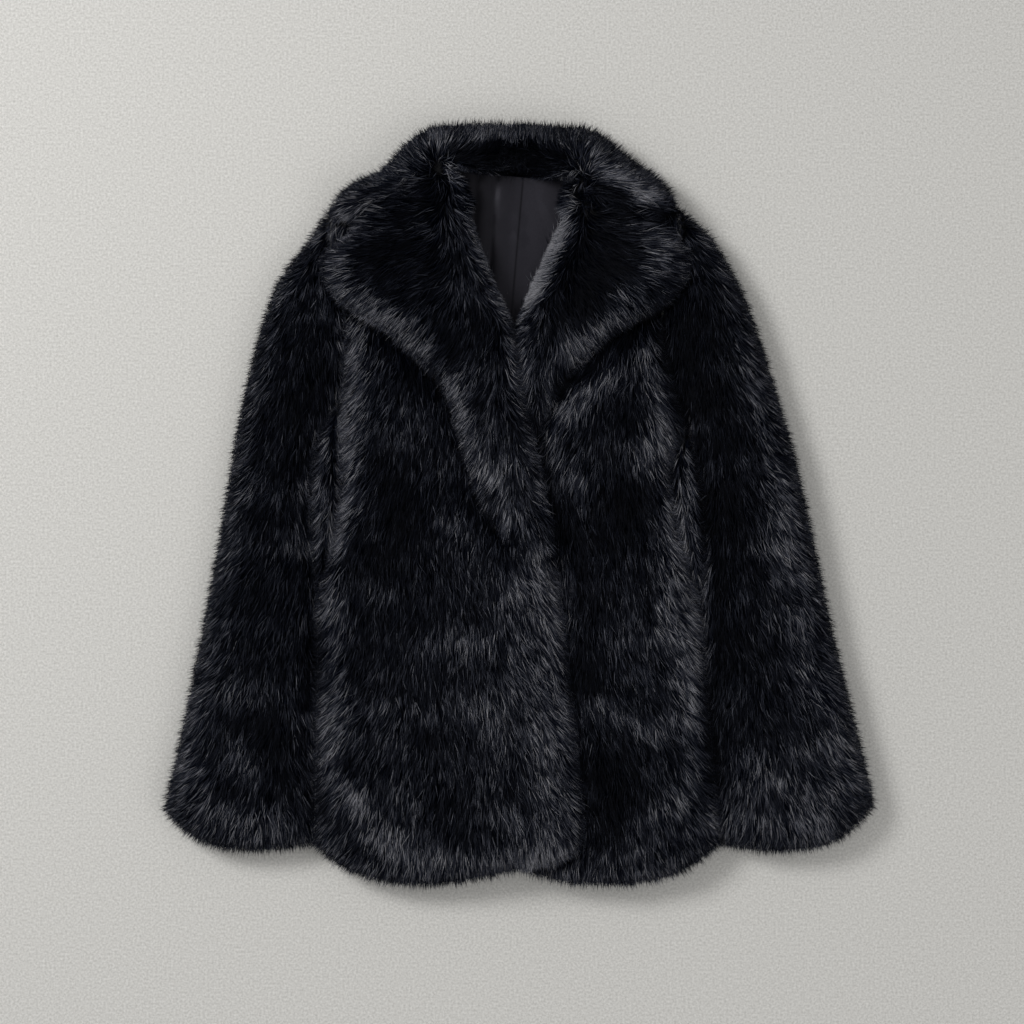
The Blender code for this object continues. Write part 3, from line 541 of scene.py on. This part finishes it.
def heights_under(places):
    """The height of whatever lies under each place, or 0."""
    down = Vector((0, 0, -1))
    hits = [ALL_WALLS.ray_cast((x, y, 120.0), down)[0] for x, y, _ in places.tolist()]
    return np.array([hit.z if hit else 0.0 for hit in hits])


def uncovered(place, normal):
    """Whether nothing lies close above each place."""
    starts = (place + 0.15 * normal).tolist()
    hits = [ALL_WALLS.ray_cast(p, n, COVER_REACH)[0] is None for p, n in zip(starts, normal.tolist())]
    return np.array(hits)


# ---- hair ----
def blend(first, second, share):
    """Rows of one array turned into those of another by each row's share."""
    return first * (1 - share)[:, None] + second * share[:, None]


def lying(name, plan, normal, swirl):
    """The pile's direction in the surface: its nap, fanned out where the wall turns down."""
    way = nap_of(name, plan)
    turn = np.radians(swells(plan, NAP_SWELLS)) + swirl
    cos, sin = np.cos(turn), np.sin(turn)
    way = np.column_stack([way[:, 0] * cos - way[:, 1] * sin, way[:, 0] * sin + way[:, 1] * cos])
    out = normal[:, :2]
    steep = np.linalg.norm(out, axis=1)
    flare = FLARE * np.where(out[:, 0] * FLARE_SIDE.get(name, 0) < 0, 0.1, 1.0)
    way = way + out * (flare * steep)[:, None]
    way = np.column_stack([way, -0.9 * steep**3])
    return unit(way - (way * normal).sum(1)[:, None] * normal)


def clumps_of(plan, size):
    """Each hair's clump: the way to its middle, and three random numbers that the clump shares."""
    cell = np.floor(plan / size).astype(int)
    table = np.random.default_rng(23).random((256, 256, 5))
    best = np.full(len(plan), 1e9)
    offset = np.zeros((len(plan), 2))
    shared = np.zeros((len(plan), 3))
    for dx in (-1, 0, 1):
        for dy in (-1, 0, 1):
            near = cell + (dx, dy)
            row = table[near[:, 0] % 256, near[:, 1] % 256]
            middle = (near + row[:, :2]) * size
            apart = np.linalg.norm(middle - plan, axis=1)
            closer = apart < best
            best = np.where(closer, apart, best)
            offset[closer] = (middle - plan)[closer]
            shared[closer] = row[closer, 2:]
    return offset, shared


def merging(name, plan):
    """From 0 to 1, how far the pile of two pieces runs together at each plan point."""
    share = np.zeros(len(plan))
    for row in MERGED:
        if name in row.pieces:
            apart = np.hypot(plan[:, 0] - row.x, plan[:, 1] - row.y)
            share = np.maximum(share, smooth(1.6 - 1.2 * apart / row.reach))
    return share


def parting(plan):
    """From 0 to 1, how far the pile stands up at each plan point."""
    share = np.zeros(len(plan))
    for whorl in WHORLS:
        apart = np.hypot(plan[:, 0] - whorl.x, plan[:, 1] - whorl.y)
        share = np.maximum(share, smooth(1.5 - apart / whorl.reach))
    return share


Hairs = namedtuple("Hairs", "root mid tip facing tone guard width")


def rooted(name):
    """Where a wall's hair grows, its normals there, and how far it merges with the next piece's."""
    place, facing, normal = WALLS[name].scattered(HAIRS_PER_MM2 * DENSER.get(name, 1.0), rng)
    inside_slit = (place[:, 2] > SLIT_Z[0]) & (place[:, 2] < SLIT_Z[1]) & (abs(facing[:, 2]) > 0.95)
    keep = uncovered(place, facing) & ~(inside_slit & name.startswith("sleeve"))
    on_top = clumps_of(place[:, :2], TUFT)[1][:, 1] < GUARD_SHARE
    keep &= on_top | (rng.random(len(place)) < UNDER_KEPT)
    place, normal = place[keep], normal[keep]
    joined = merging(name, place[:, :2])
    return place, unit(blend(normal, np.array(UP), joined)), joined


def hairs(name):
    """A wall's hair: each one's points, facing normal, tone and width, and whether it lies on top."""
    wall = WALLS[name]
    place, normal, joined = rooted(name)
    count = len(place)
    merged = joined > MERGED_SHARE
    to_lock, lock = clumps_of(place[:, :2], CLUMP)
    to_tuft, tuft = clumps_of(place[:, :2], TUFT)
    guard = tuft[:, 1] < GUARD_SHARE

    # how far each hair turns from the nap, and how long it is
    swirl = rng.normal(0, SWIRL[0], count) + SWIRL[1] * (lock[:, 0] - 0.5) + SWIRL[2] * (tuft[:, 0] - 0.5)
    by_chance, by_lock, on_top = LENGTH_SPREAD
    grown = SHORTEST + by_chance * rng.random(count) + by_lock * (lock[:, 1] - 0.5) + on_top * guard
    rim = np.clip(1 - normal[:, 2] / 0.5, 0, 1)
    upstanding = parting(place[:, :2])
    swirl = np.radians(swirl) + upstanding * rng.normal(0, 0.9, count)
    trim = near_neck(place[:, :2])
    long = HAIR_LENGTH * grown * (1 - SHORTER_AT_RIM * rim)
    long = long * (1 - SHORTER_AT_PARTING * upstanding * rng.random(count)) * (1 - SHORTER_AT_NECK * trim)

    # along the wall to the bend, and on to the tip
    way = lying(name, place[:, :2], normal, swirl)
    way = unit(way + 0.9 * rim[:, None] * normal)
    bend = place + way * (BEND_AT * long)[:, None]
    mid, mid_normal = wall.nearest(bend)
    mid = blend(mid, bend, joined)
    mid_normal = unit(blend(mid_normal, np.array(UP), joined))
    way = lying(name, mid[:, :2], mid_normal, swirl)
    straight = mid + way * ((1 - BEND_AT) * long)[:, None]
    tip, tip_normal = wall.nearest(straight)

    # past an edge a hair stands out only so far, and the stiffest hardly bend down
    over = np.linalg.norm(tip - straight, axis=1)
    reach = np.where(guard, OVERSHOOT[1] + OVERSHOOT[2] * rng.random(count) ** 1.5, OVERSHOOT[0])
    allowed = reach * (1 - 0.75 * trim) / np.maximum(over, 0.01)
    straight = np.where(joined < MERGED_SHARE, np.minimum(allowed, 1), 1)[:, None] * (straight - tip) + tip
    past = np.clip(over / 6.0 - 0.3, 0, 1)
    stiff = np.where(rng.random(count) < STRAY_SHARE, STRAIGHT, SLACK[0] + SLACK[1] * past)
    tip = blend(tip, straight, np.maximum(stiff, joined))
    tip_normal = unit(blend(tip_normal, np.array(UP), joined))
    steep = np.linalg.norm(tip_normal[:, :2], axis=1)

    # heights over and under the wall's surface
    lift = np.where(guard, GUARD_TIP_OVER, UNDER_TIP_OVER) + LIFT_SPREAD[0] * rng.normal(0, 1, count)
    lift += LIFT_SPREAD[1] * (lock[:, 2] - 0.5) + swells(place[:, :2], LIFT_SWELLS)
    lift += LIFT_SPREAD[2] * steep * rng.random(count)
    deep = np.where(guard, GUARD_MID_DEPTH, UNDER_MID_DEPTH) + MID_SPREAD * rng.normal(0, 1, count)
    root = place - normal * ROOT_DEPTH
    mid[merged, 2] = np.maximum(mid[merged, 2], heights_under(mid[merged]))
    tip[merged, 2] = np.maximum(tip[merged, 2], heights_under(tip[merged]))
    mid = mid - mid_normal * deep[:, None]
    tip = tip + tip_normal * lift[:, None]
    to_middle = CLUMP_PULL * to_lock + TUFT_PULL * to_tuft
    tip[:, :2] += to_middle
    mid[:, :2] += 0.4 * to_middle
    beyond = over > 2.5
    tip[beyond, 2] = np.maximum(tip[beyond, 2], heights_under(tip[beyond]) + 0.5)
    for part in (root, mid, tip):
        part[:, 2] = np.maximum(part[:, 2], LOWEST[0] + LOWEST[1] * rng.random(count))

    # painted light on the hair: highlights and shade from the bands, and a painted sheen on steep rims
    tone = BASE_TONE + tone_and_painted_light(tip[:, :2]) + RIM_SHEEN_TONE * steep**1.5
    tone += TUFT_TONE * np.where(guard, tuft[:, 2] ** 2 - 0.3, 0.3 * (tuft[:, 2] - 0.5))
    tone += HAIR_TONE * rng.normal(0, 1, count) + np.where(guard, 0, UNDER_TONE)
    fuzz = smooth(over / 3.0) * (joined < MERGED_SHARE)
    width = np.where(guard, GUARD_WIDTH, UNDER_WIDTH) * (1 - (1 - FUZZ_WIDTH) * fuzz)
    return Hairs(root, mid, tip, mid_normal, np.clip(tone, 0.01, 0.99), guard, width)


def fringe(name):
    """Thin hairs that stand out all round a wall's rim and break its outline."""
    wall = WALLS[name]
    place, facing, normal = wall.scattered(FRINGE_PER_MM2, rng)
    rim = (normal[:, 2] > FRINGE_SLOPE[0]) & (normal[:, 2] < FRINGE_SLOPE[1]) & (place[:, 2] > FRINGE_FLOOR)
    rim &= uncovered(place, facing) & (merging(name, place[:, :2]) < MERGED_SHARE)
    place, normal = place[rim], normal[rim]
    count = len(place)
    level = np.zeros((count, 1))
    out = unit(np.hstack([normal[:, :2], level]))
    nap = np.hstack([nap_of(name, place[:, :2]), level])
    sway = np.column_stack([rng.normal(0, 0.3, (count, 2)), 0.25 + 0.3 * rng.random(count)])
    way = unit(out * (0.7 + 0.6 * rng.random((count, 1))) + 0.7 * nap + sway)
    least, by_chance, by_slope = FRINGE_LENGTH
    long = least + by_chance * rng.random(count) ** 2.2 + by_slope * np.maximum(normal[:, 2], 0)
    long = (long * (1 - 0.6 * near_neck(place[:, :2])))[:, None]
    root = place - FRINGE_ROOT_DEPTH * normal
    mid = place + 0.35 * long * way
    tip = place + long * unit(way - (0.0, 0.0, 0.25))
    tip[:, 2] = np.maximum(tip[:, 2], heights_under(tip) + 0.4)
    # painted glint on the thin hairs, with the bands' painted highlights and shade
    tone = BASE_TONE + tone_and_painted_light(tip[:, :2]) + FRINGE_GLINT_TONE + 0.14 * rng.normal(0, 1, count)
    facing = np.tile(UP, (count, 1))
    guard = np.ones(count, bool)
    return Hairs(root, mid, tip, facing, np.clip(tone, 0.01, 0.99), guard, np.full(count, FRINGE_WIDTH))


def ribbon_mesh(label, grown, materials):
    """Each hair as two triangles: from its root out to its widest place, and in to its tip."""
    root, mid, tip, facing, tone, guard, width = grown
    count = len(root)
    along = unit(tip - root)
    side = unit(np.cross(along, facing))
    roll = rng.normal(0, 0.35, count)[:, None]
    up = unit(np.cross(side, along))
    side = unit(side * np.cos(roll) + up * np.sin(roll))
    up = unit(np.cross(side, along))
    half = (0.5 * width * (0.75 + 0.5 * rng.random(count)))[:, None]
    points = np.stack([root, mid - side * half, mid + side * half, tip], axis=1)
    normals = np.stack([up, unit(up - ROUNDNESS * side), unit(up + ROUNDNESS * side), up], axis=1)
    mesh = bpy.data.meshes.new(label)
    mesh.vertices.add(4 * count)
    mesh.vertices.foreach_set("co", (points * MM).reshape(-1))
    loops = (4 * np.arange(count)[:, None] + np.array([0, 2, 1, 1, 2, 3])).reshape(-1)
    mesh.loops.add(6 * count)
    mesh.loops.foreach_set("vertex_index", loops.astype(np.int32))
    mesh.polygons.add(2 * count)
    mesh.polygons.foreach_set("loop_start", np.arange(0, 6 * count, 3, dtype=np.int32))
    row = rng.integers(0, TONE_ROWS, count)
    low, middle, high = ((row + share) / TONE_ROWS for share in (0.06, 0.5, 0.94))
    u = 0.01 + 0.98 * tone
    uv = np.stack([u, low, u - HALF_U, middle, u + HALF_U, middle, u, high], axis=1).reshape(-1, 2)
    mesh.update(calc_edges=True)
    layer = mesh.uv_layers.new(name="OFBake")
    layer.data.foreach_set("uv", uv[loops].reshape(-1).astype(np.float32))
    mesh.shade_smooth()
    mesh.normals_split_custom_set_from_vertices(normals.reshape(-1, 3).tolist())
    for material in materials:
        mesh.materials.append(material)
    mesh.polygons.foreach_set("material_index", np.repeat(np.where(guard, 0, 1), 2).astype(np.int32))
    obj = bpy.data.objects.new(label, mesh)
    bpy.context.collection.objects.link(obj)
    return obj


# ---- materials ----
# A hair's colour by its tone, and how bright it is painted along its length from root to tip: painted shade
# towards the root and a painted glint from about 0.6 to 0.85 of the way
PILE_TONES = (
    (0.0, (0.0003, 0.0006, 0.0018)),
    (0.25, (0.0014, 0.0021, 0.0048)),
    (0.45, (0.0068, 0.0082, 0.0140)),
    (0.65, (0.032, 0.035, 0.048)),
    (0.82, (0.105, 0.108, 0.128)),
    (1.0, (0.25, 0.25, 0.27)),
)
PILE_GLINT_AND_SHADE = ((0.0, 0.15), (0.4, 0.4), (0.6, 1.15), (0.85, 1.15), (1.0, 0.7))
UNDER_COLOURS = ((0.3, (0.001, 0.001, 0.0014)), (0.75, (0.004, 0.0042, 0.0055)))
SATIN_COLOURS = ((0.3, (0.0092, 0.0088, 0.0118)), (0.7, (0.0170, 0.0162, 0.0208)))
FLOOR_COLOURS = ((0.3, (0.475, 0.465, 0.44)), (0.7, (0.75, 0.74, 0.71)))


class Look:
    """A material's node tree, with the few nodes that these materials are made of."""

    def __init__(self, name):
        self.material = bpy.data.materials.new(name)
        self.material.use_nodes = True
        self.nodes = self.material.node_tree.nodes
        self.link = self.material.node_tree.links.new
        self.shader = self.nodes["Principled BSDF"]

    def set(self, name, value):
        self.shader.inputs[name].default_value = value

    def feed(self, name, source):
        self.link(source, self.shader.inputs[name])

    def place(self):
        return self.nodes.new("ShaderNodeTexCoord").outputs["Object"]

    def split(self, source):
        node = self.nodes.new("ShaderNodeSeparateXYZ")
        self.link(source, node.inputs[0])
        return node.outputs

    def noise(self, place, scale, detail, roughness=0.5):
        node = self.nodes.new("ShaderNodeTexNoise")
        node.inputs["Scale"].default_value = scale
        node.inputs["Detail"].default_value = detail
        node.inputs["Roughness"].default_value = roughness
        self.link(place, node.inputs["Vector"])
        return node.outputs[0]

    def math(self, operation, first, second):
        """The second is a number or another node's output."""
        node = self.nodes.new("ShaderNodeMath")
        node.operation = operation
        self.link(first, node.inputs[0])
        if isinstance(second, (int, float)):
            node.inputs[1].default_value = second
        else:
            self.link(second, node.inputs[1])
        return node.outputs[0]

    def spread(self, source, low=0.0, high=1.0, to_low=0.0, to_high=1.0):
        """A number turned from one range into another."""
        node = self.nodes.new("ShaderNodeMapRange")
        for number, value in enumerate((low, high, to_low, to_high)):
            node.inputs[number + 1].default_value = value
        self.link(source, node.inputs[0])
        return node.outputs[0]

    def ramp(self, source, stops):
        """A colour ramp over rows of a position and a colour."""
        node = self.nodes.new("ShaderNodeValToRGB")
        elements = node.color_ramp.elements
        while len(elements) < len(stops):
            elements.new(0.5)
        for element, (position, colour) in zip(elements, stops):
            element.position = position
            element.color = (*colour, 1)
        self.link(source, node.inputs[0])
        return node.outputs[0]

    def times(self, colour, shade):
        node = self.nodes.new("ShaderNodeMix")
        node.data_type = "RGBA"
        node.blend_type = "MULTIPLY"
        node.inputs[0].default_value = 1.0
        self.link(colour, node.inputs[6])
        self.link(shade, node.inputs[7])
        return node.outputs[2]

    def bump(self, height, strength, distance):
        node = self.nodes.new("ShaderNodeBump")
        node.inputs["Strength"].default_value = strength
        node.inputs["Distance"].default_value = distance
        self.link(height, node.inputs["Height"])
        self.feed("Normal", node.outputs[0])


def pile_material(name, specular):
    """Hair with each hair's own tone, painted darker at the root as shade and lighter towards the tip as a
    glint.
    """
    look = Look(name)
    place = look.nodes.new("ShaderNodeUVMap")
    place.uv_map = "OFBake"
    tone, row, _ = look.split(place.outputs[0])
    along = look.math("FRACT", look.math("MULTIPLY", row, TONE_ROWS), 0)
    # painted shade at each hair's root and a painted glint towards its tip
    shade = look.ramp(along, [(at, (value, value, value)) for at, value in PILE_GLINT_AND_SHADE])
    look.feed("Base Color", look.times(look.ramp(tone, PILE_TONES), shade))
    look.feed("Roughness", look.spread(tone, to_low=0.62, to_high=0.34))
    look.set("Specular IOR Level", specular)
    return look.material


def backing_material():
    """The dense dark under-pile that shows between the hairs."""
    look = Look("under_pile")
    fine = look.noise(look.place(), 900.0, 4.0)
    look.feed("Base Color", look.ramp(fine, UNDER_COLOURS))
    look.bump(fine, 0.6, MM)
    look.set("Roughness", 0.85)
    look.set("Specular IOR Level", 0.2)
    return look.material


def satin_material():
    """Lining satin: a fine weave, a soft sheen, its centre seam, and painted shade that darkens its left
    side.
    """
    look = Look("satin_lining")
    place = look.place()
    stretch = look.nodes.new("ShaderNodeMapping")
    stretch.inputs["Scale"].default_value = (2600.0, 500.0, 500.0)
    look.link(place, stretch.inputs["Vector"])
    weave = look.noise(stretch.outputs[0], 1.0, 2.0)
    cloud = look.noise(place, 26.0, 3.0)
    x, y, _ = look.split(place)
    top_x, lean, top_y = LINING_SEAM
    line = look.math("ADD", look.math("MULTIPLY", y, lean), (top_x - lean * top_y) * MM)
    away = look.math("ABSOLUTE", look.math("SUBTRACT", x, line), 0)
    seam = look.spread(away, 0.3 * MM, 1.3 * MM, 0.2)
    # painted shade: the satin darkened from x = 15 mm towards its left side, to a fifth at x = -40 mm
    painted_shade = look.spread(x, -40 * MM, 15 * MM, 0.2)
    look.feed("Base Color", look.times(look.ramp(weave, SATIN_COLOURS), look.math("MULTIPLY", seam, painted_shade)))
    look.feed("Roughness", look.spread(cloud, to_low=0.5, to_high=0.6))
    look.bump(weave, 0.25, 0.2 * MM)
    look.set("Specular IOR Level", 0.27)
    look.set("Specular Tint", (0.86, 0.84, 1.0, 1))
    return look.material


def floor_material():
    """A plain pale ground with a faint grain."""
    look = Look("floor")
    fine = look.noise(look.place(), 420.0, 4.0, 0.7)
    look.feed("Base Color", look.ramp(fine, FLOOR_COLOURS))
    look.set("Roughness", 0.9)
    look.set("Specular IOR Level", 0.1)
    return look.material


# ---- pieces ----
def finer(wall):
    """A wall's mesh with each triangle in four."""
    work = bmesh.new()
    made = [work.verts.new(p) for p in wall.points.tolist()]
    for tri in wall.tris.tolist():
        try:
            work.faces.new([made[i] for i in tri])
        except ValueError:
            pass
    bmesh.ops.subdivide_edges(work, edges=work.edges[:], cuts=1, use_grid_fill=True)
    bmesh.ops.triangulate(work, faces=work.faces[:])
    work.normal_update()
    return work


def backing(name, material):
    """The cloth under the hair: the wall's form drawn in by the roots' depth, and lumpy."""
    wall = WALLS[name]
    work = finer(wall)
    points = np.array([v.co[:] for v in work.verts])
    normals = unit(np.array([v.normal[:] for v in work.verts]))
    thick = []
    for p, n in zip((points - 0.05 * normals).tolist(), (-normals).tolist()):
        hit = wall.tree.ray_cast(p, n)
        thick.append(hit[3] if hit[0] is not None else 1.0)
    thick = np.array(thick)
    move = np.minimum(ROOT_DEPTH - 0.5, 0.36 * thick)
    move = move + swells(points[:, :2], LUMP_SWELLS) * np.clip(thick / 12, 0, 1)
    under = normals[:, 2] < -0.6
    move[under] = 0.2
    slit = (points[:, 2] > SLIT_Z[0]) & (points[:, 2] < SLIT_Z[1]) & (abs(normals[:, 2]) > 0.8)
    move[slit & name.startswith("sleeve")] = 0.0
    points -= normals * move[:, None]
    for vert, place in zip(work.verts, (points * MM).tolist()):
        vert.co = place
    return finished(work, f"cloth_{name}", material)


def finished(work, label, material):
    mesh = bpy.data.meshes.new(label)
    work.to_mesh(mesh)
    work.free()
    mesh.shade_smooth()
    mesh.materials.append(material)
    obj = bpy.data.objects.new(label, mesh)
    bpy.context.collection.objects.link(obj)
    return obj


def lining(material):
    """The satin back lining: its solid's form with soft folds and the centre seam drawn in."""
    work = finer(WALLS["lining"])
    bmesh.ops.subdivide_edges(work, edges=work.edges[:], cuts=3, use_grid_fill=True)
    bmesh.ops.triangulate(work, faces=work.faces[:])
    work.normal_update()
    for vert in work.verts:
        x, y, z = vert.co
        lowest = LINING_LEAST_Z[0] if vert.normal.z > 0.3 else LINING_LEAST_Z[1]
        right_of_seam = x - LINING_SEAM[0] + LINING_SEAM[1] * (LINING_SEAM[2] - y)
        across = x + 27 - 0.07 * (y - 300)
        z -= SEAM_STEP * smooth(right_of_seam / 1.2 + 0.5) + 0.045 * min(max(x + 45, 0), 50)
        for fold in LINING_FOLDS:
            z += fold.rise * np.exp(-(((across - fold.away) / fold.width) ** 2))
        z += 0.3 * np.sin(0.11 * x + 0.03 * y)
        vert.co = (x * MM, y * MM, max(z, lowest) * MM)
    return finished(work, "cloth_lining", material)


# ---- build ----
pile = (pile_material("guard_hair", 0.06), pile_material("undercoat", 0.0))
under, satin = backing_material(), satin_material()
Cut = namedtuple("Cut", "width length area")

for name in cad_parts:
    if name == "lining":
        cloth, hair = lining(satin), []
    else:
        cloth = backing(name, under)
        grown = [np.concatenate(pair) for pair in zip(hairs(name), fringe(name))]
        hair = [ribbon_mesh(f"pile_{name}", Hairs(*grown), pile)]
    for piece in [cloth] + hair:
        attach(piece, "root")
        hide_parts(name)

# ---- floor, light, camera, in metres ----
floor_mesh = bpy.data.meshes.new("floor")
floor_mesh.from_pydata([(-4, -4, 0), (4, -4, 0), (4, 4, 0), (-4, 4, 0)], [], [(0, 1, 2, 3)])
floor = bpy.data.objects.new("floor", floor_mesh)
floor.location.z = -0.0003
floor_mesh.materials.append(floor_material())
bpy.context.collection.objects.link(floor)


def area_light(name, place, aim, size, power):
    data = bpy.data.lights.new(name, "AREA")
    data.shape = "DISK"
    data.size = size
    data.energy = power
    light = bpy.data.objects.new(name, data)
    light.location = place
    light.rotation_euler = (Vector(aim) - Vector(place)).to_track_quat("-Z", "Y").to_euler()
    bpy.context.collection.objects.link(light)


area_light("key", (-2.3, 1.5, 2.3), (0, 0, 0), 1.3, 80)
area_light("fill", (1.6, -1.2, 2.4), (0, 0, 0), 2.4, 14)
world = bpy.data.worlds.new("studio")
world.use_nodes = True
world.node_tree.nodes["Background"].inputs[0].default_value = (1.0, 1.0, 1.0, 1)
world.node_tree.nodes["Background"].inputs[1].default_value = 0.42
bpy.context.scene.world = world
bpy.context.scene.view_settings.view_transform = "Standard"

PIXEL = 1.05 * MM  # one pixel of the photograph on the coat
PHOTO_SIDE = 1024
ORIGIN_AT = (518.5, 504)  # the frame's origin in the photograph, in pixels
CAMERA_HEIGHT = 4.0
FRAMED_Z = 0.02  # the height at which the photograph's scale holds
SENSOR = 36.0
camera_data = bpy.data.cameras.new("camera")
camera_data.sensor_width = SENSOR
camera_data.lens = SENSOR * (CAMERA_HEIGHT - FRAMED_Z) / (PHOTO_SIDE * PIXEL)
camera = bpy.data.objects.new("camera", camera_data)
middle = PHOTO_SIDE / 2
camera.location = ((middle - ORIGIN_AT[0]) * PIXEL, (ORIGIN_AT[1] - middle) * PIXEL, CAMERA_HEIGHT)
bpy.context.collection.objects.link(camera)
bpy.context.scene.camera = camera
